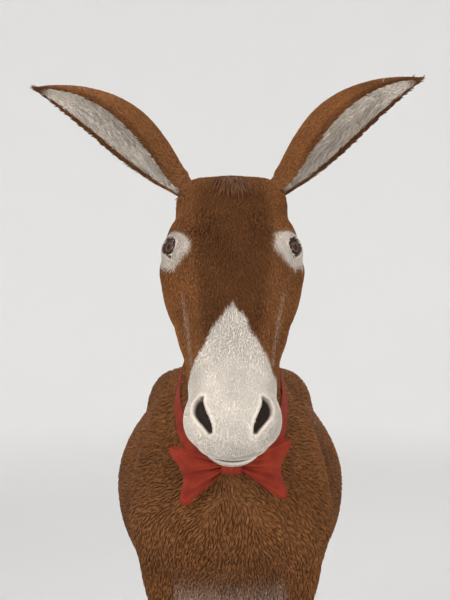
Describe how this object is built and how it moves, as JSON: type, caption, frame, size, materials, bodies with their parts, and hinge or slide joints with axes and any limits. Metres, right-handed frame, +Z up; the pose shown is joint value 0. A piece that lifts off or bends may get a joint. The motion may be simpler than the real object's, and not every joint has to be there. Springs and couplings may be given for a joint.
{
  "type": "donkey",
  "caption": "Standing brown donkey with long spread ears, a pale muzzle, a tufted tail and a red bow on a band round its neck, as a still, life-size museum model.",
  "frame": {"origin": "on the floor, under the middle of the animal's bounding box", "axes": "+Z up, -Y the way the animal faces, +X towards its left side"},
  "size_m": [0.6997, 1.5987, 1.6938],
  "materials": {
    "coat": "short matt hair, dark brown on the face and back, paler on the muzzle, belly and inner legs",
    "mane_hair": "coarse dark brown hair",
    "horn": "dark horn with a dull sheen",
    "eye": "wet and glossy, dark brown with a level pupil",
    "red_cloth": "matt dark red cloth"
  },
  "bodies": {
    "root": {"trunk": "coat", "neck": "coat", "head": "coat", "tail": "coat", "fore_leg_left": "coat", "hind_leg_left": "coat", "ear_left": "coat", "fore_leg_right": "coat", "hind_leg_right": "coat", "ear_right": "coat", "eye_left": "eye", "hoof_fore_left": "horn", "hoof_hind_left": "horn", "eye_right": "eye", "hoof_fore_right": "horn", "hoof_hind_right": "horn", "mane": "mane_hair", "tail_switch": "mane_hair", "bow_band": "red_cloth", "bow_knot": "red_cloth", "bow_loop_left": "red_cloth", "bow_loop_right": "red_cloth"}
  },
  "joints": []
}
